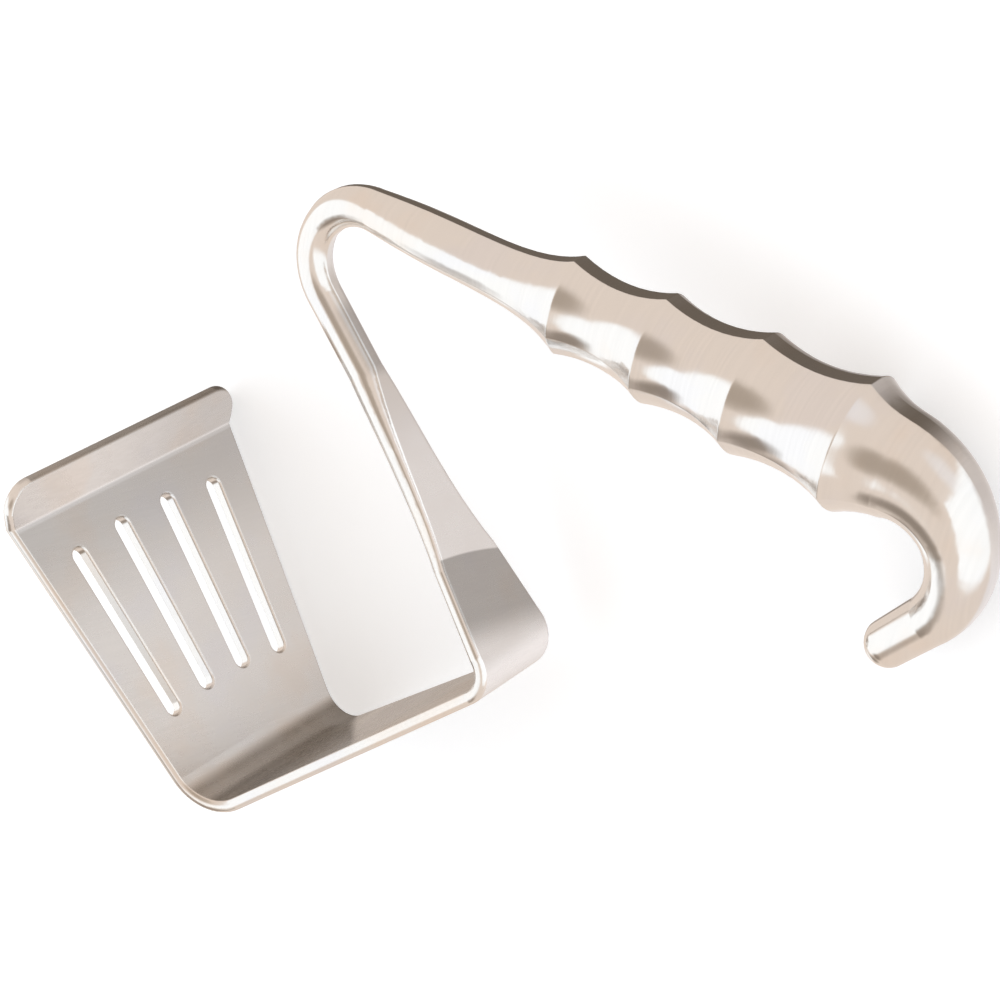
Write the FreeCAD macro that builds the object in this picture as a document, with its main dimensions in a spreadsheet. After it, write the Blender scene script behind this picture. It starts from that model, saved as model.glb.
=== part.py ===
# Handheld surgical retractor: one steel bar, drawn out flat and slotted at the blade end, bent
# into a square U, drawn down to a rod, turned over in a hairpin and swelled into a scalloped
# grip that ends in a hook. The bar is followed from the lip of the blade to the tip of the hook.
import FreeCAD, Part
import math
import os
from collections import namedtuple

import Sketcher
from FreeCAD import Placement, Rotation, Vector

NODE = "retractor"

# Driving dimensions, in millimetres and degrees. A bend's radius is that of the bar's centre line.
SIZES = {
    # plate: lip, blade, bottom and the lower part of the upright
    "plate_thickness": 3.0,
    "plate_edge_radius": 0.6,
    "plate_side_lean": 0.6,
    "blade_width": 77.0,
    "lip_length": 11.5,
    "lip_width": 79.0,
    "lip_angle": 39.0,
    "lip_corner_radius": 6.8,
    "blade_length": 69.0,
    "blade_bottom_width": 55.8,
    "blade_bend_radius": 10.4,
    "blade_bend_angle": 92.1,
    "bottom_start_width": 50.0,
    "bottom_length": 70.1,
    "bottom_end_width": 25.5,
    "upright_bend_radius": 7.5,
    "upright_bend_angle": 90.0,
    "upright_start_width": 25.9,
    "upright_plate_length": 20.0,
    "upright_plate_width": 20.0,
    "upright_taper_length": 46.0,
    "upright_neck_share": 0.54,
    "upright_neck_width": 11.8,
    "upright_neck_thickness": 4.4,
    # slots of the blade
    "slot_width": 4.3,
    "outer_slot_length": 45.2,
    "outer_slot_gap": 10.4,
    "outer_slot_top_offset": 23.9,
    "outer_slot_bottom_offset": 19.4,
    "inner_slot_length": 45.5,
    "inner_slot_gap": 8.7,
    "inner_slot_top_offset": 8.1,
    "inner_slot_bottom_offset": 6.6,
    "slot_edge_chamfer": 0.4,
    # rod, hairpin and shank
    "rod_diameter": 7.9,
    "rod_flat": 1.6,
    "rod_length": 19.0,
    "hairpin_radius": 14.3,
    "hairpin_angle": 136.7,
    "shank_length": 50.5,
    "shank_start_depth": 9.6,
    "shank_start_width": 9.4,
    "shank_middle_depth": 12.4,
    "shank_middle_width": 11.4,
    "shank_end_depth": 14.6,
    "shank_end_width": 12.4,
    "shank_flare_length": 10.0,
    "shank_flat": 2.8,
    # grip: four ridges with three scallops between them
    "grip_flat": 4.4,
    "ridge_pitch_1": 22.4,
    "ridge_pitch_2": 22.7,
    "ridge_pitch_3": 24.4,
    "ridge_depth_1": 21.4,
    "ridge_depth_2": 24.0,
    "ridge_depth_3": 26.6,
    "ridge_depth_4": 29.2,
    "ridge_width_1": 16.6,
    "ridge_width_2": 21.8,
    "ridge_width_3": 25.8,
    "ridge_width_4": 30.0,
    "scallop_depth": 2.3,
    # hook behind the grip
    "hook_neck_length": 9.5,
    "hook_neck_depth": 22.4,
    "hook_neck_width": 23.2,
    "hook_radius": 18.1,
    "hook_angle": 126.5,
    "hook_middle_depth": 15.6,
    "hook_middle_width": 16.6,
    "hook_end_depth": 10.9,
    "hook_end_width": 11.8,
    "tail_length": 16.2,
    "tail_depth": 10.2,
    "tail_width": 10.8,
    "tip_length": 5.0,
}

document = FreeCAD.newDocument("retractor")
sheet = document.addObject("Spreadsheet::Sheet", "Sizes")
for row, (alias, value) in enumerate(SIZES.items(), 1):
    sheet.set(f"A{row}", alias)
    sheet.set(f"B{row}", str(value))
    sheet.setAlias(f"B{row}", alias)
document.recompute()


def size(alias):
    """A driving dimension, read from the sheet."""
    return float(getattr(sheet, alias))


# Stations along the bar's centre line, which lies in the XZ plane

Station = namedtuple("Station", "point heading")


def along(station):
    """Unit vector in which the bar runs on."""
    angle = math.radians(station.heading)
    return Vector(math.cos(angle), 0, math.sin(angle))


def inward(station):
    """Unit vector square to the bar, towards the inside of the U and the top of the grip."""
    angle = math.radians(station.heading)
    return Vector(-math.sin(angle), 0, math.cos(angle))


def run(station, length):
    """The station a straight length further on."""
    return Station(station.point + along(station) * length, station.heading)


def turn(station, radius, angle):
    """The station at the end of an arc: to the inside with a positive angle, else to the outside."""
    side = math.copysign(radius, angle)
    centre = station.point + inward(station) * side
    end = Station(centre, station.heading + angle)
    return Station(centre - inward(end) * side, end.heading)


# Cross-sections: half a section is an inner flat, a full side, a crease, an edge and an outer flat

# Its bulge is the rise of the edge's arc over its chord
Section = namedtuple("Section", "depth width inner_flat outer_flat crease_width crease_depth bulge")

ROD_CREASE_ANGLE = 22.0                     # where the crease lies on the round rod
ROD_EDGE_BULGE = 0.12
GRIP_CREASE_WIDTH = 0.89                    # shares of the grip's half width and half depth
GRIP_CREASE_DEPTH = 0.5
GRIP_OUTER_FLAT = 0.62                      # the outer flat's share of the inner one
GRIP_EDGE_BULGE = 0.05
SHANK_MIDDLE_FLAT = 0.8                     # the shank's flat half way, as a share of the flat at its end
NECK_TO_ROD = 0.4                           # how far the sections have changed half way between two
FLARE_TO_RIDGE = 0.36
LIP_FLARE = 0.6                             # how much of its flare the lip has half way to its corners
RIDGE_TO_HOOK = 0.68
TIP_ANGLES = (0, 20, 40, 60, 80)            # where the sections of the rounded tip lie on its dome
PLATE_BEND_STEPS = 6                        # how many sections follow one another round a bend
ROUND_BEND_STEPS = 8
ON_FACE = 0.01                              # how near a rim lies to the blade's face
INSIDE_BLADE = 0.1                          # and how far from the blade's ends at least
REST_MESH = 0.05                            # fineness of the points that find the resting place
MOST_TIPS = 12


def plate(width, thickness=None):
    """Flat plate with a crisp inner edge, a rounded side and an outer edge rounded on from it."""
    half = (thickness or size("plate_thickness")) / 2
    scale = half * 2 / size("plate_thickness")
    lean = size("plate_side_lean") * scale
    crease = half - size("plate_edge_radius") * scale
    side_radius = (half ** 2 + lean ** 2) / (2 * lean)
    steepness = math.asin(crease / side_radius)
    crease_width = width / 2 - side_radius * (1 - math.cos(steepness))
    chord = (steepness + math.pi / 2) / 2
    outer_flat = crease_width - (half - crease) * math.tan(chord)
    bulge = math.tan((math.pi / 2 - steepness) / 4) / 2
    return Section(half, width / 2, width / 2 - lean, outer_flat, crease_width, crease, bulge)


def rod(depth, width, flat):
    """Round bar with a narrow flat inside and outside."""
    angle = math.radians(ROD_CREASE_ANGLE)
    return Section(depth / 2, width / 2, flat / 2, flat / 2, width / 2 * math.cos(angle),
                   depth / 2 * math.sin(angle), ROD_EDGE_BULGE)


def handle(depth, width, flat):
    """Broad rounded sides that fall away to a narrower outer face."""
    return Section(depth / 2, width / 2, flat / 2, flat * GRIP_OUTER_FLAT, width / 2 * GRIP_CREASE_WIDTH,
                   depth / 2 * GRIP_CREASE_DEPTH, GRIP_EDGE_BULGE)


def blend(first, last, share):
    """A section part of the way from one to another."""
    return Section(*(a + (b - a) * share for a, b in zip(first, last)))


def half_outline(section):
    """Inner corner, side, crease, edge and outer corner of one half: distance across, height inwards."""
    chord = Vector(section.outer_flat - section.crease_width, section.crease_depth - section.depth, 0)
    return [(section.inner_flat, section.depth),
            (section.width, 0),
            (section.crease_width, -section.crease_depth),
            (section.crease_width + chord.x / 2 - chord.y * section.bulge,
             -section.crease_depth + chord.y / 2 + chord.x * section.bulge),
            (section.outer_flat, -section.depth)]


def outline(station, section, stretch=1.0):
    """The closed wire of a section, square to the bar unless stretched for a mitre."""
    across = Vector(0, 1, 0)
    inner = inward(station) * stretch

    def place(offset, height):
        return station.point + across * offset + inner * height

    def half(side):
        return [place(side * offset, height) for offset, height in half_outline(section)]

    near = half(-1)
    far = half(1)
    return Part.Wire([
        Part.makeLine(far[0], near[0]),
        Part.Arc(near[0], near[1], near[2]).toShape(),
        Part.Arc(near[2], near[3], near[4]).toShape(),
        Part.makeLine(near[4], far[4]),
        Part.Arc(far[4], far[3], far[2]).toShape(),
        Part.Arc(far[2], far[1], far[0]).toShape(),
    ])


def with_true_planes(solid):
    """The same solid, with each flat face that a loft makes as a spline laid on a plane."""
    faces = []
    for face in solid.Faces:
        plane = face.OuterWire.findPlane()
        if plane and not isinstance(face.Surface, Part.Plane):
            flat = Part.Face(plane, face.OuterWire)
            if flat.normalAt(0, 0).dot(face.normalAt(0, 0)) < 0:
                flat.reverse()
            face = flat
        faces.append(face)
    return Part.Solid(Part.Shell(faces))


def length_of_bar(name, wires, straight):
    """One stretch of the bar as an object of the document."""
    piece = document.addObject("Part::Feature", name)
    piece.Shape = with_true_planes(Part.makeLoft(wires, True, straight))
    return piece


def bent_length(name, station, radius, angle, sections, steps):
    """A stretch that follows an arc, through sections spread evenly over it."""
    wires = []
    for step in range(steps + 1):
        position = step / steps * (len(sections) - 1)
        first = min(int(position), len(sections) - 2)
        place = turn(station, radius, angle * step / steps)
        wires.append(outline(place, blend(sections[first], sections[first + 1], position - first)))
    return length_of_bar(name, wires, False)


def edge_face(root, outwards, inner, section, inset):
    """The part of a section past an inset, as a face that starts at a root and points outwards."""
    points = [root + outwards * (offset - inset) + inner * height for offset, height in half_outline(section)]
    above = root + inner * section.depth
    below = root - inner * section.depth
    return Part.Face(Part.Wire([
        Part.makeLine(above, points[0]),
        Part.Arc(points[0], points[1], points[2]).toShape(),
        Part.Arc(points[2], points[3], points[4]).toShape(),
        Part.makeLine(points[4], below),
        Part.makeLine(below, above),
    ]))


def rounded_end(name, station, section, radius):
    """The plate's end before a station: its edge runs round two corners and straight between them."""
    piece = document.addObject("Part::Feature", name)
    inner = inward(station)
    inset = section.width - radius
    far_corner = station.point + Vector(0, inset, 0)
    near_corner = station.point - Vector(0, inset, 0)
    end = edge_face(far_corner, along(station) * -1, inner, section, inset).extrude(near_corner - far_corner)
    far = edge_face(far_corner, Vector(0, 1, 0), inner, section, inset).revolve(far_corner, inner, 90)
    near = edge_face(near_corner, Vector(0, -1, 0), inner, section, inset).revolve(near_corner, inner, -90)
    piece.Shape = end.fuse([far, near]).removeSplitter()
    return piece


# The bar, from the lip to the tip of the hook
BLADE_HEADING = -size("blade_bend_angle")
lip_tip = Station(Vector(0, 0, 0), BLADE_HEADING - size("lip_angle"))
lip_corners = run(lip_tip, size("lip_corner_radius"))
lip_bend = run(lip_tip, size("lip_length"))
lip_middle = run(lip_corners, (lip_bend.point - lip_corners.point).Length / 2)
mitre = Station(lip_bend.point, BLADE_HEADING - size("lip_angle") / 2)
mitre_stretch = 1 / math.cos(math.radians(size("lip_angle") / 2))
blade_top = Station(lip_bend.point, BLADE_HEADING)
blade_bottom = run(blade_top, size("blade_length"))
bottom_start = turn(blade_bottom, size("blade_bend_radius"), size("blade_bend_angle"))
bottom_end = run(bottom_start, size("bottom_length"))
upright_start = turn(bottom_end, size("upright_bend_radius"), size("upright_bend_angle"))
upright_plate_end = run(upright_start, size("upright_plate_length"))
upright_neck = run(upright_plate_end, size("upright_taper_length") * size("upright_neck_share"))
rod_start = run(upright_plate_end, size("upright_taper_length"))
rod_end = run(rod_start, size("rod_length"))
shank_start = turn(rod_end, size("hairpin_radius"), -size("hairpin_angle"))
shank_middle = run(shank_start, size("shank_length") / 2)
ridge_1 = run(shank_start, size("shank_length"))
flare_start = run(ridge_1, -size("shank_flare_length"))
flare_middle = run(ridge_1, -size("shank_flare_length") / 2)
ridges = [ridge_1]
for number in (1, 2, 3):
    ridges.append(run(ridges[-1], size(f"ridge_pitch_{number}")))
hook_start = run(ridges[-1], size("hook_neck_length"))
tail_start = turn(hook_start, size("hook_radius"), -size("hook_angle"))
tip_start = run(tail_start, size("tail_length") - size("tip_length"))

wide = plate(size("blade_width"))
widest = plate(size("lip_width"))
rod_section = rod(size("rod_diameter"), size("rod_diameter"), size("rod_flat"))
shank_first = rod(size("shank_start_depth"), size("shank_start_width"), size("rod_flat"))

stretches = [
    rounded_end("lip_end", lip_corners, widest, size("lip_corner_radius")),
    length_of_bar("lip", [outline(lip_corners, widest),
                          outline(lip_middle, blend(wide, widest, LIP_FLARE)),
                          outline(mitre, wide, mitre_stretch)], False),
    length_of_bar("blade", [outline(mitre, wide, mitre_stretch),
                            outline(blade_bottom, plate(size("blade_bottom_width")))], True),
    bent_length("blade_bend", blade_bottom, size("blade_bend_radius"), size("blade_bend_angle"),
                [plate(size("blade_bottom_width")), plate(size("bottom_start_width"))], PLATE_BEND_STEPS),
    length_of_bar("bottom", [outline(bottom_start, plate(size("bottom_start_width"))),
                             outline(bottom_end, plate(size("bottom_end_width")))], True),
    bent_length("upright_bend", bottom_end, size("upright_bend_radius"), size("upright_bend_angle"),
                [plate(size("bottom_end_width")), plate(size("upright_start_width"))], PLATE_BEND_STEPS),
    length_of_bar("upright_plate", [outline(upright_start, plate(size("upright_start_width"))),
                                    outline(upright_plate_end, plate(size("upright_plate_width")))], True),
]

# The plate thickens as it narrows, and turns into the round rod
neck = plate(size("upright_neck_width"), size("upright_neck_thickness"))
stretches.append(length_of_bar("upright_taper", [
    outline(upright_plate_end, plate(size("upright_plate_width"))),
    outline(upright_neck, neck),
    outline(run(upright_neck, (rod_start.point - upright_neck.point).Length / 2),
            blend(neck, rod_section, NECK_TO_ROD)),
    outline(rod_start, rod_section)], False))
stretches.append(length_of_bar("rod", [outline(rod_start, rod_section), outline(rod_end, rod_section)], True))
stretches.append(bent_length("hairpin", rod_end, size("hairpin_radius"), -size("hairpin_angle"),
                             [rod_section, rod_section, shank_first], ROUND_BEND_STEPS))

# The shank swells steadily and flares up to the first ridge
shank_end = handle(size("shank_end_depth"), size("shank_end_width"), size("shank_flat"))
first_ridge = handle(size("ridge_depth_1"), size("ridge_width_1"), size("grip_flat"))
stretches.append(length_of_bar("shank", [
    outline(shank_start, shank_first),
    outline(shank_middle, handle(size("shank_middle_depth"), size("shank_middle_width"),
                                 size("shank_flat") * SHANK_MIDDLE_FLAT)),
    outline(flare_start, shank_end),
    outline(flare_middle, blend(shank_end, first_ridge, FLARE_TO_RIDGE)),
    outline(ridge_1, first_ridge)], False))

# Each scallop is hollow between two ridges, which stay crisp where it meets the next
ridge_sections = [handle(size(f"ridge_depth_{number}"), size(f"ridge_width_{number}"), size("grip_flat"))
                  for number in (1, 2, 3, 4)]
for number in (0, 1, 2):
    first, last = ridge_sections[number], ridge_sections[number + 1]
    between = blend(first, last, 0.5)
    depth = 2 * (between.depth - size("scallop_depth"))
    width = 2 * (between.width - size("scallop_depth"))
    waist = handle(depth, width, size("grip_flat"))
    middle = run(ridges[number], size(f"ridge_pitch_{number + 1}") / 2)
    stretches.append(length_of_bar(f"scallop_{number + 1}", [
        outline(ridges[number], first), outline(middle, waist), outline(ridges[number + 1], last)], False))

# The hook narrows all the way round to a blunt rounded tip
hook_neck = handle(size("hook_neck_depth"), size("hook_neck_width"), size("grip_flat"))
hook_middle = rod(size("hook_middle_depth"), size("hook_middle_width"), size("rod_flat"))
hook_end = rod(size("hook_end_depth"), size("hook_end_width"), size("rod_flat"))
tail = rod(size("tail_depth"), size("tail_width"), size("rod_flat"))
stretches.append(length_of_bar("hook_neck", [
    outline(ridges[-1], ridge_sections[-1]),
    outline(run(ridges[-1], size("hook_neck_length") / 2), blend(ridge_sections[-1], hook_neck, RIDGE_TO_HOOK)),
    outline(hook_start, hook_neck)], False))
stretches.append(bent_length("hook", hook_start, size("hook_radius"), -size("hook_angle"),
                             [hook_neck, hook_middle, hook_end], ROUND_BEND_STEPS))
stretches.append(length_of_bar("tail", [outline(tail_start, hook_end), outline(tip_start, tail)], True))
tip_wires = []
for angle in TIP_ANGLES:
    scale = math.cos(math.radians(angle))
    place = run(tip_start, size("tip_length") * math.sin(math.radians(angle)))
    tip_wires.append(outline(place, rod(size("tail_depth") * scale, size("tail_width") * scale,
                                        size("rod_flat") * scale)))
stretches.append(length_of_bar("tip", tip_wires, False))

bar = document.addObject("Part::MultiFuse", "bar")
bar.Shapes = stretches
document.recompute()


# The blade's slots are cut out of the bar

def sketch_on(name, station):
    """A sketch in the plane of the plate, with X across it and Y back towards the lip."""
    sketch = document.addObject("Sketcher::SketchObject", name)
    back = along(station) * -1
    sketch.Placement = Placement(station.point, Rotation(Vector(0, 1, 0), back, inward(station), "XYZ"))
    return sketch


def bind(sketch, kind, geometry, formula, value):
    """A dimension of a sketch, with its formula in terms of the sheet."""
    index = sketch.addConstraint(Sketcher.Constraint(kind, *geometry, value))
    sketch.setExpression(f"Constraints[{index}]", formula)


def cutter(name, sketch):
    """Extrudes a sketch through the plate, and mirrors it to the other half."""
    solid = document.addObject("Part::Extrusion", name)
    solid.Base = sketch
    solid.DirMode = "Normal"
    solid.Solid = True
    solid.Symmetric = True
    solid.setExpression("LengthFwd", "Sizes.plate_thickness * 4")
    twin = document.addObject("Part::Mirroring", name + "_twin")
    twin.Source = solid
    twin.Normal = Vector(0, 1, 0)
    return [solid, twin]


def slot_sketch(name, kind):
    """A round-ended slot that fans out towards the lip."""
    sketch = sketch_on(name, blade_top)
    radius = size("slot_width") / 2
    top = Vector(size(f"{kind}_slot_top_offset"), -size(f"{kind}_slot_gap") - radius, 0)
    bottom = Vector(size(f"{kind}_slot_bottom_offset"),
                    -size(f"{kind}_slot_gap") - size(f"{kind}_slot_length") + radius, 0)
    axis = top - bottom
    lean = math.atan2(axis.y, axis.x)
    side = Vector(-axis.y, axis.x, 0).normalize() * radius
    up = Vector(0, 0, 1)
    sketch.addGeometry([
        Part.ArcOfCircle(Part.Circle(top, up, radius), lean - math.pi / 2, lean + math.pi / 2),
        Part.LineSegment(top + side, bottom + side),
        Part.ArcOfCircle(Part.Circle(bottom, up, radius), lean + math.pi / 2, lean + 3 * math.pi / 2),
        Part.LineSegment(bottom - side, top - side),
    ])
    for first, first_end, second, second_end in ((0, 2, 1, 1), (1, 2, 2, 1), (2, 2, 3, 1), (3, 2, 0, 1)):
        sketch.addConstraint(Sketcher.Constraint("Tangent", first, first_end, second, second_end))
    sketch.addConstraint(Sketcher.Constraint("Equal", 0, 2))
    bind(sketch, "Radius", (0,), "Sizes.slot_width / 2", radius)
    bind(sketch, "DistanceX", (-1, 1, 0, 3), f"Sizes.{kind}_slot_top_offset", top.x)
    bind(sketch, "DistanceX", (-1, 1, 2, 3), f"Sizes.{kind}_slot_bottom_offset", bottom.x)
    bind(sketch, "DistanceY", (0, 3, -1, 1), f"Sizes.{kind}_slot_gap + Sizes.slot_width / 2", -top.y)
    bind(sketch, "DistanceY", (2, 3, -1, 1),
         f"Sizes.{kind}_slot_gap + Sizes.{kind}_slot_length - Sizes.slot_width / 2", -bottom.y)
    return sketch


cutters = cutter("outer_slot", slot_sketch("outer_slot_sketch", "outer"))
cutters += cutter("inner_slot", slot_sketch("inner_slot_sketch", "inner"))
tools = document.addObject("Part::MultiFuse", "cutters")
tools.Shapes = cutters
slotted = document.addObject("Part::Cut", "slotted_bar")
slotted.Base = bar
slotted.Tool = tools
document.recompute()


def rim_edges(shape):
    """Numbers of the edges round the slots, on both faces of the blade."""
    face_height = size("plate_thickness") / 2
    reach = size("blade_length")
    found = []
    for number, edge in enumerate(shape.Edges, 1):
        points = edge.discretize(3)
        heights = [(point - blade_top.point).dot(inward(blade_top)) for point in points]
        runs = [(point - blade_top.point).dot(along(blade_top)) for point in points]
        widths = [abs(point.y) for point in points]
        on_face = all(abs(abs(height) - face_height) < ON_FACE for height in heights)
        inside = all(INSIDE_BLADE < distance < reach - INSIDE_BLADE for distance in runs)
        if on_face and inside and max(widths) < size("outer_slot_top_offset") + size("slot_width"):
            found.append(number)
    return found


eased = document.addObject("Part::Chamfer", "eased_slots")
eased.Base = slotted
eased.Edges = [(number, size("slot_edge_chamfer"), size("slot_edge_chamfer"))
               for number in rim_edges(slotted.Shape)]
document.recompute()


# The retractor lies on its side: it tips over until its weight is between three feet

def tipping(feet, centre):
    """The feet that stay down and the way it tips over them, or None where it rests."""
    if len(feet) == 1:
        lateral = centre - feet[0]
        return [0], Vector(lateral.x, lateral.y, 0).normalize()
    for first in range(len(feet)):
        second = (first + 1) % len(feet)
        lateral = Vector(0, 0, 1).cross(feet[second] - feet[first]).normalize()
        towards_centre = (centre - feet[first]).dot(lateral)
        if len(feet) == 2:
            return [first, second], lateral * math.copysign(1, towards_centre)
        third = feet[3 - first - second]
        if (third - feet[first]).dot(lateral) * towards_centre < 0:
            return [first, second], lateral * math.copysign(1, towards_centre)
    return None


def tip_over(points, pivot, lateral):
    """The angle about a pivot at which one side touches down, and the number of the point that does."""
    angles = []
    for number, point in enumerate(points):
        reach = (point - pivot).dot(lateral)
        if reach > size("plate_thickness"):
            angles.append((math.degrees(math.atan2(point.z - pivot.z, reach)), number))
    return min(angles)


def rest_placement(shape):
    """Where the shape comes to rest with its near side up."""
    corners = shape.tessellate(REST_MESH)[0]
    found = Placement(Vector(0, 0, 0), Rotation(Vector(1, 0, 0), Vector(0, 0, -1), Vector(0, 1, 0), "XYZ"))
    feet = [min(corners, key=lambda corner: found.multVec(corner).z)]
    for _ in range(MOST_TIPS):
        points = [found.multVec(corner) for corner in corners]
        placed_feet = [found.multVec(foot) for foot in feet]
        step = tipping(placed_feet, found.multVec(shape.CenterOfGravity))
        if step is None:
            return found
        kept, lateral = step
        angle, number = tip_over(points, placed_feet[kept[0]], lateral)
        axis = Vector(0, 0, 1).cross(lateral)
        found = Placement(Vector(0, 0, 0), Rotation(axis, angle), placed_feet[kept[0]]) * found
        feet = [feet[index] for index in kept] + [corners[number]]
    raise RuntimeError("the retractor finds no rest")


finished = eased.Shape
retractor = document.addObject("Part::Feature", NODE)
retractor.Label = NODE
retractor.Shape = finished
resting = rest_placement(finished)
retractor.Placement = resting
box = retractor.Shape.BoundBox
shift = Vector(-(box.XMin + box.XMax) / 2, -(box.YMin + box.YMax) / 2, -box.ZMin)
retractor.Placement = Placement(shift, Rotation()) * resting
document.recompute()

for item in document.Objects:
    if "Invalid" in item.State or "Error" in item.State:
        raise RuntimeError(f"{item.Name} failed: {item.State}")
    if hasattr(item, "Shape") and (item.Shape.isNull() or not item.Shape.isValid()):
        raise RuntimeError(f"{item.Name} has no valid shape")
if len(retractor.Shape.Solids) != 1:
    raise RuntimeError("the retractor is not one solid")

os.makedirs("parts", exist_ok=True)
retractor.Shape.exportStep(os.path.join("parts", NODE + ".step"))
print(NODE, "box", retractor.Shape.BoundBox, "volume", round(retractor.Shape.Volume), "mm3",
      "faces", len(retractor.Shape.Faces))
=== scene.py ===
# Looks of the handheld surgical retractor: satin-polished steel, lying on its side on a pale floor
# in a soft studio. Lengths are in metres and angles in degrees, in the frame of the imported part.
import math

import bpy
from mathutils import Matrix, Vector

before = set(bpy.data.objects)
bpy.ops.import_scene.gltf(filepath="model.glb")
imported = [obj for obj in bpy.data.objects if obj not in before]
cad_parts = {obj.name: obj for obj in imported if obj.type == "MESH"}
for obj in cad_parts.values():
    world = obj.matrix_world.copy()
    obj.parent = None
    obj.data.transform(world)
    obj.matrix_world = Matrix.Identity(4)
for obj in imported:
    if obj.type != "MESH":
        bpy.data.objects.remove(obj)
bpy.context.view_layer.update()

# The camera looks at the blade and the grip from above, as the photograph does
CAMERA_PLACE = Vector((0.461027, -0.049090, 0.472604))
CAMERA_AIM = Vector((0.002015, -0.006317, 0.027316))
CAMERA_ROLL = 107.42
LENS = 108.0
SENSOR = 36.0
NEAREST = 0.01
FARTHEST = 20.0

# Colours of the studio
BEIGE = (0.90, 0.79, 0.71)
WHITE = (1.24, 1.27, 1.30)
PALE = (0.97, 0.92, 0.91)
GREY = (0.72, 0.66, 0.63)
TAN = (0.50, 0.42, 0.35)
BROWN = (0.34, 0.285, 0.24)
DARK = (0.17, 0.14, 0.115)
BACKDROP = (1, 1, 1)

# Cards and dark corners of the beige studio, later ones over earlier ones. Each has a colour, and is
# where its round fields overlap. A field is the azimuth and elevation of its middle, its reach and
# its softness.
STUDIO = [
    # White cards behind the part and above it, and a soft tan one overhead
    (WHITE, [(165, 38, 33, 4)]),
    (WHITE, [(-165, 60, 19, 4)]),
    (TAN, [(-10, 74, 17, 12)]),
    # A pale one on the side of the grip
    (PALE, [(10, 4, 12, 11)]),
    # Brown corners behind the blade, and a small white card under them
    (BROWN, [(-147, 28, 12, 8)]),
    (BROWN, [(-158, 1, 9, 7)]),
    (WHITE, [(-170, -12, 6, 5)]),
    # A wide white side, which the outer face of the bottom mirrors
    (WHITE, [(-90, -24, 90, 3), (0, -90, 132, 2), (16, 19, 90, 7)]),
    # What is mirrored from below: pale, then grey and dark towards +Y
    (PALE, [(0, -90, 44, 6)]),
    (GREY, [(0, -90, 48, 10), (60, -40, 60, 20)]),
    (DARK, [(0, -90, 59, 4), (100, -15, 56, 16)]),
]

FLOOR_REACH = 6.0
FLOOR_PAINT = (0.84, 0.89, 0.94)
FLOOR_GLOW = 0.36

# Polished steel, the tones that polishing heat and handling leave on it, and the colour of its painted
# highlights
STEEL_COLOUR = (0.80, 0.775, 0.745)
WARM_STEEL = (0.82, 0.735, 0.655)
COOL_STEEL = (0.775, 0.76, 0.765)
# Colour of the painted highlights
HIGHLIGHT_STEEL = (0.95, 0.935, 0.92)

# A fade is where it starts and where it ends, followed by its values there if they aren't 0 and 1.
# Fades over X: onto the blade's half and off it, onto the blade itself, and onto the upright
BLADE_HALF = (-0.040, -0.048)
PAST_BLADE_HALF = (-0.040, -0.032)
BLADE = (-0.085, -0.092)
UPRIGHT = (-0.003, -0.007)

# Fades over Y: down onto the upright's flat part, and from below and above onto the rod's stretch with
# painted shade
UPRIGHT_TOP = (0.035, 0.005)
ROD_FOOT = (0.028, 0.032)
ROD_TOP = (0.049, 0.043)

# The foot of the upright, darkened by a painted reflection of the grip: its lower end, its upper edge,
# which is a bow, and the Z of its crest
GRIP_REFLECTION_FOOT = (-0.0360, -0.0270)
GRIP_REFLECTION_EDGE = (-0.0130, -0.0136)
GRIP_REFLECTION_CREST = 0.029
GRIP_REFLECTION_CURVE = 5.4
GRIP_REFLECTION_SHADE = 0.36

# The corner of the bottom that a painted reflection of the blade darkens: its slanting edge, and its
# painted shade where the face turns to +Y
CORNER_EDGE = (-0.0983, -0.1007)
CORNER_SLOPE = 1.04
CORNER_SHADE = (0.35, 0.9, 0.0, 0.34)

# Heights are over the inner face of the bottom, along the blade
UP = Vector((-0.0016, 0.9867, 0.1627))
BOTTOM_FACE = -0.0360
LIP_BEND = 0.0773
UNDER_LIP = (LIP_BEND + 0.0006, LIP_BEND - 0.0002)
ON_LIP = (LIP_BEND, LIP_BEND + 0.0008)
# Painted shade on the blade: below its lip, and towards its foot
UNDER_LIP_SHADE = (0.044, 0.074, 0.0, 0.26)
FOOT_SHADE = (0.026, 0.004, 0.0, 0.16)

# The painted highlight along the lip's bend, over the distance from it, and the lip's painted shade over Z
LIP_HIGHLIGHT = (0.0010, 0.0003, 0.0, 0.9)
LIP_SHADE = (0.055, 0.004, 0.02, 0.24)

# Fades over how far a face turns: to +Z or -Z for the edges, and to +X for the other two, the upright's
# outer face with its painted highlight, and the rod's painted shade
POLISHED_EDGE = (0.35, 0.6)
OUTER_FACE = (0.3, 0.9)
ROD_SHADE = (0.6, 0.96, 0.0, 0.30)

# Polishing lines: waves per metre across and along them, their depth, how much of it shows on the
# handle and on the plates, and their shade
GRIP_AXIS = Vector((0.69, -0.71, -0.165))
GRAIN_ACROSS = 1500.0
GRAIN_ALONG = 45.0
GRAIN_DEPTH = 0.000006
HANDLE_RELIEF = 1.0
PLATE_RELIEF = 0.35
LINE_SHADE = (0.25, 0.75, -0.012, 0.012)

# Smudges and haze: waves per metre, detail and roughness of the pattern, and what they change
SMUDGES = (42.0, 4.0, 0.55)
WARM_SMUDGES = (0.5, 0.68, 0.0, 0.5)
COOL_SMUDGES = (0.48, 0.34, 0.0, 0.6)
HAZE = (109.2, 5.0, 0.6)
HAZE_SHIFT = (0.31, 0.17, 0.23)

# Roughness of the satin plates, of their polished edges, and of the handle
SATIN = 0.26
PLATE_EDGE = 0.19
POLISH = 0.13
HAZE_ROUGHNESS = (0.3, 0.7, -0.02, 0.035)
LINE_ROUGHNESS = (0.2, 0.8, -0.02, 0.02)

EDGE_ROUNDING = 0.0005
EDGE_SAMPLES = 8


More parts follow.
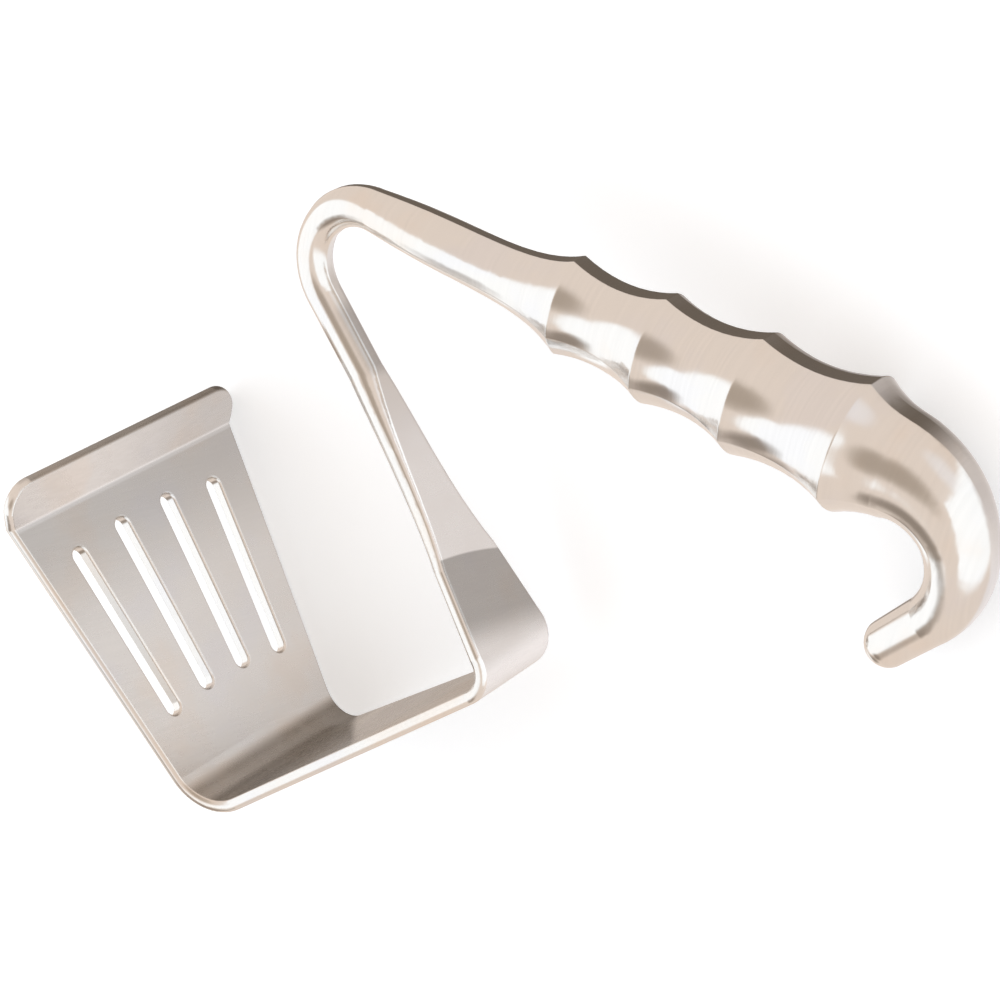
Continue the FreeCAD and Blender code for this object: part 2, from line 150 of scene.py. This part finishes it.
def direction(azimuth, elevation):
    """Unit vector towards a place of the studio, with its azimuth from +X."""
    turn = math.radians(azimuth)
    rise = math.radians(elevation)
    return Vector((math.cos(turn) * math.cos(rise), math.sin(turn) * math.cos(rise), math.sin(rise)))


class Nodes:
    """Short hand for building a node tree."""

    def __init__(self, tree):
        self.tree = tree
        tree.nodes.clear()

    def connect(self, socket, value):
        """Link a socket to another node's output, or give it a plain value."""
        if isinstance(value, bpy.types.NodeSocket):
            self.tree.links.new(value, socket)
        else:
            socket.default_value = value

    def add(self, kind, inputs=None, **settings):
        node = self.tree.nodes.new(kind)
        for name, value in settings.items():
            setattr(node, name, value)
        for name, value in (inputs or {}).items():
            self.connect(node.inputs[name], value)
        return node

    def mix_colour(self, share, first, second):
        node = self.add("ShaderNodeMix", data_type="RGBA")
        for index, value in ((0, share), (6, first), (7, second)):
            self.connect(node.inputs[index], value)
        return node.outputs[2]

    def math(self, operation, *values):
        node = self.add("ShaderNodeMath", operation=operation)
        for socket, value in zip(node.inputs, values):
            self.connect(socket, value)
        return node.outputs[0]

    def times(self, first, *others):
        """The product of two or more values."""
        for other in others:
            first = self.math("MULTIPLY", first, other)
        return first

    def most(self, first, *others):
        """The largest of two or more values."""
        for other in others:
            first = self.math("MAXIMUM", first, other)
        return first

    def rest(self, share):
        """What a share leaves of the whole."""
        return self.math("SUBTRACT", 1.0, share)

    def vector(self, operation, *values):
        node = self.add("ShaderNodeVectorMath", operation=operation)
        for socket, value in zip(node.inputs, values):
            self.connect(socket, value)
        return node.outputs["Value" if operation == "DOT_PRODUCT" else "Vector"]

    def scaled(self, vector, factor):
        return self.add("ShaderNodeVectorMath", {0: vector, "Scale": factor}, operation="SCALE").outputs[0]

    def rise(self, value, start, end, low=0.0, high=1.0):
        """Go smoothly from low to high as a value goes from start to end."""
        return self.add("ShaderNodeMapRange", {
            "Value": value, "From Min": start, "From Max": end, "To Min": low, "To Max": high},
            interpolation_type="SMOOTHSTEP").outputs["Result"]

    def noise(self, place, scale=1.0, detail=3.0, roughness=0.5):
        return self.add("ShaderNodeTexNoise", {
            "Vector": place, "Scale": scale, "Detail": detail, "Roughness": roughness}).outputs["Fac"]


class SteelNodes(Nodes):
    """Node tree of the steel, with the places and zones of the part that its tones, painted shade and
    painted highlights follow.
    """

    def __init__(self, tree):
        super().__init__(tree)
        self.place = self.add("ShaderNodeTexCoord").outputs["Object"]
        self.x, self.y, self.z = self.add("ShaderNodeSeparateXYZ", {0: self.place}).outputs
        normal = self.add("ShaderNodeNewGeometry").outputs["Normal"]
        self.facing_x, self.facing_y, self.facing_z = self.add("ShaderNodeSeparateXYZ", {0: normal}).outputs
        self.height = self.math("SUBTRACT", self.vector("DOT_PRODUCT", self.place, UP), BOTTOM_FACE)
        self.find_the_plates()
        self.find_the_upright_face()
        self.draw_the_lines()

    def find_the_plates(self):
        """The plates, and their flat faces without the polished edges."""
        self.blade_half = self.rise(self.x, *BLADE_HALF)
        self.upright_side = self.rise(self.x, *UPRIGHT)
        upright = self.times(self.upright_side, self.rise(self.y, *UPRIGHT_TOP))
        self.plates = self.most(self.blade_half, upright)
        edges = self.rise(self.math("ABSOLUTE", self.facing_z), *POLISHED_EDGE)
        self.satin = self.times(self.plates, self.rest(edges))
        self.blade = self.times(self.rise(self.x, *BLADE), self.satin)

    def find_the_upright_face(self):
        """The upright's outer face, and the zone at its foot that takes a painted reflection of the grip.
        """
        self.upright_face = self.times(self.rise(self.facing_x, *OUTER_FACE), self.satin,
                                       self.rise(self.x, *PAST_BLADE_HALF))
        bow = self.math("POWER", self.math("SUBTRACT", self.z, GRIP_REFLECTION_CREST), 2.0)
        edge = self.math("ADD", self.y, self.times(bow, GRIP_REFLECTION_CURVE))
        self.grip_reflection = self.times(self.rise(edge, *GRIP_REFLECTION_EDGE), self.rise(self.y, *GRIP_REFLECTION_FOOT))

    def draw_the_lines(self):
        """Polishing lines: across the plates, and round the handle."""
        plate_place = self.vector("MULTIPLY", self.place, (GRAIN_ACROSS, GRAIN_ACROSS, GRAIN_ALONG))
        along = self.scaled(GRIP_AXIS, self.vector("DOT_PRODUCT", self.place, GRIP_AXIS))
        handle_place = self.vector("ADD", self.vector("MULTIPLY", self.place, (GRAIN_ALONG,) * 3),
                                   self.scaled(along, GRAIN_ACROSS))
        self.lines = self.add("ShaderNodeMix", {
            0: self.plates, 2: self.noise(handle_place), 3: self.noise(plate_place)}).outputs[0]

    def roughness(self):
        """Satin plates with more polished edges, and a polished handle, all with some haze."""
        haze = self.noise(self.vector("ADD", self.place, HAZE_SHIFT), *HAZE)
        rough = self.rise(self.plates, 0.0, 1.0, POLISH, PLATE_EDGE)
        rough = self.most(rough, self.rise(self.satin, 0.0, 1.0, 0.0, SATIN))
        rough = self.math("ADD", rough, self.rise(haze, *HAZE_ROUGHNESS))
        return self.math("ADD", rough, self.rise(self.lines, *LINE_ROUGHNESS))

    def shade(self):
        """How much darker a place is, as painted shade: on the blade under its lip and at its foot, on the
        lip towards the floor, and painted reflections on a corner of the bottom, on the upright's foot and
        on the rod's side towards the grip."""
        # Painted shade on the blade under its lip and at its foot, and on the lip towards the floor
        under_lip = self.times(self.rise(self.height, *UNDER_LIP_SHADE), self.rise(self.height, *UNDER_LIP))
        foot = self.rise(self.height, *FOOT_SHADE)
        lip = self.times(self.rise(self.height, *ON_LIP), self.rise(self.z, *LIP_SHADE))
        blade = self.times(self.most(under_lip, foot, lip), self.blade)
        # Painted reflection of the blade, which darkens a corner of the bottom
        corner = self.math("SUBTRACT", self.x, self.times(self.z, CORNER_SLOPE))
        corner = self.times(self.rise(corner, *CORNER_EDGE), self.rise(self.facing_y, *CORNER_SHADE),
                            self.satin)
        # Painted reflection of the grip, which darkens the foot of the upright's outer face
        grip_reflection = self.times(self.grip_reflection, self.upright_face, GRIP_REFLECTION_SHADE)
        # Painted reflection, which darkens the rod's side towards the grip
        rod = self.times(self.rest(self.blade_half), self.upright_side, self.rise(self.y, *ROD_FOOT),
                         self.rise(self.y, *ROD_TOP), self.rise(self.facing_x, *ROD_SHADE))
        zones = self.most(blade, corner, grip_reflection, rod)
        return self.math("ADD", zones, self.rise(self.lines, *LINE_SHADE))

    def bright(self):
        """Painted highlights where the steel is brightest: along the lip's bend, and on the upright's outer
        face.
        """
        # Painted highlight along the lip's bend
        lip_highlight = self.math("ABSOLUTE", self.math("SUBTRACT", self.height, LIP_BEND))
        lip_highlight = self.times(self.rise(lip_highlight, *LIP_HIGHLIGHT), self.blade)
        # Painted highlight on the upright's outer face, above the painted reflection at its foot
        return self.most(lip_highlight, self.times(self.rest(self.grip_reflection), self.upright_face))

    def colour(self):
        """Steel with warm and cool smudges, painted highlights and painted shade."""
        smudges = self.noise(self.place, *SMUDGES)
        tint = self.mix_colour(self.rise(smudges, *WARM_SMUDGES), (*STEEL_COLOUR, 1), (*WARM_STEEL, 1))
        tint = self.mix_colour(self.rise(smudges, *COOL_SMUDGES), tint, (*COOL_STEEL, 1))
        # Painted highlights in a brighter steel colour
        tint = self.mix_colour(self.bright(), tint, (*HIGHLIGHT_STEEL, 1))
        # Painted shade darkens the steel
        return self.scaled(tint, self.rest(self.shade()))

    def surface(self):
        """The normal, with the edges rounded and the polishing lines cut in."""
        rounded = self.add("ShaderNodeBevel", {"Radius": EDGE_ROUNDING}, samples=EDGE_SAMPLES).outputs[0]
        relief = self.times(self.lines, self.rise(self.plates, 0.0, 1.0, HANDLE_RELIEF, PLATE_RELIEF))
        return self.add("ShaderNodeBump", {
            "Height": relief, "Distance": GRAIN_DEPTH, "Strength": 1.0, "Normal": rounded}).outputs[0]


def steel():
    """Stainless steel: satin plates with lines across them, and a polished handle and edges."""
    material = bpy.data.materials.new("steel")
    material.use_nodes = True
    nodes = SteelNodes(material.node_tree)
    shader = nodes.add("ShaderNodeBsdfPrincipled", {
        "Base Color": nodes.colour(), "Metallic": 1.0, "Roughness": nodes.roughness(),
        "Normal": nodes.surface()})
    nodes.add("ShaderNodeOutputMaterial", {"Surface": shader.outputs[0]})
    return material


def light_the_studio():
    """The world: a beige studio with white cards and darker corners, white to the camera itself."""
    world = bpy.data.worlds.new("studio")
    bpy.context.scene.world = world
    world.use_nodes = True
    nodes = Nodes(world.node_tree)
    ray = nodes.add("ShaderNodeTexCoord").outputs["Generated"]
    colour = (*BEIGE, 1)
    for paint, fields in STUDIO:
        share = 1.0
        for azimuth, elevation, reach, softness in fields:
            lean = nodes.vector("DOT_PRODUCT", ray, direction(azimuth, elevation))
            outer = math.cos(math.radians(reach + softness))
            inner = math.cos(math.radians(reach - softness))
            share = nodes.rise(lean, outer, inner, high=share)
        colour = nodes.mix_colour(share, colour, (*paint, 1))
    studio = nodes.add("ShaderNodeBackground", {"Color": colour, "Strength": 1.0})
    backdrop = nodes.add("ShaderNodeBackground", {"Color": (*BACKDROP, 1), "Strength": 1.0})
    path = nodes.add("ShaderNodeLightPath")
    seen = nodes.add("ShaderNodeMixShader", {
        0: path.outputs["Is Camera Ray"], 1: studio.outputs[0], 2: backdrop.outputs[0]})
    nodes.add("ShaderNodeOutputWorld", {"Surface": seen.outputs[0]})


def floor_paint():
    """White paint that glows a little, so that the camera sees it white where it is unshaded."""
    material = bpy.data.materials.new("floor_white")
    material.use_nodes = True
    nodes = Nodes(material.node_tree)
    paint = nodes.add("ShaderNodeBsdfDiffuse", {"Color": (*FLOOR_PAINT, 1)})
    glow = nodes.add("ShaderNodeEmission", {"Color": (*BACKDROP, 1), "Strength": FLOOR_GLOW})
    both = nodes.add("ShaderNodeAddShader", {0: paint.outputs[0], 1: glow.outputs[0]})
    nodes.add("ShaderNodeOutputMaterial", {"Surface": both.outputs[0]})
    return material


def lay_the_floor():
    """A wide pale floor under the part, which the steel doesn't mirror."""
    corners = [(x * FLOOR_REACH, y * FLOOR_REACH, 0) for x, y in ((-1, -1), (1, -1), (1, 1), (-1, 1))]
    mesh = bpy.data.meshes.new("floor")
    mesh.from_pydata(corners, [], [(0, 1, 2, 3)])
    mesh.materials.append(floor_paint())
    floor = bpy.data.objects.new("floor", mesh)
    bpy.context.scene.collection.objects.link(floor)
    floor.visible_glossy = False


def set_the_camera():
    """A long lens, rolled as the photograph is."""
    data = bpy.data.cameras.new("camera")
    data.lens = LENS
    data.sensor_width = SENSOR
    data.clip_start = NEAREST
    data.clip_end = FARTHEST
    camera = bpy.data.objects.new("camera", data)
    bpy.context.scene.collection.objects.link(camera)
    level = (CAMERA_AIM - CAMERA_PLACE).to_track_quat("-Z", "Y").to_matrix().to_4x4()
    roll = Matrix.Rotation(math.radians(-CAMERA_ROLL), 4, "Z")
    camera.matrix_world = Matrix.Translation(CAMERA_PLACE) @ level @ roll
    bpy.context.scene.camera = camera


bpy.context.scene.view_settings.view_transform = "Standard"
light_the_studio()
lay_the_floor()
set_the_camera()
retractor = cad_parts["retractor"]
retractor.data.materials.clear()
retractor.data.materials.append(steel())

bpy.context.view_layer.update()
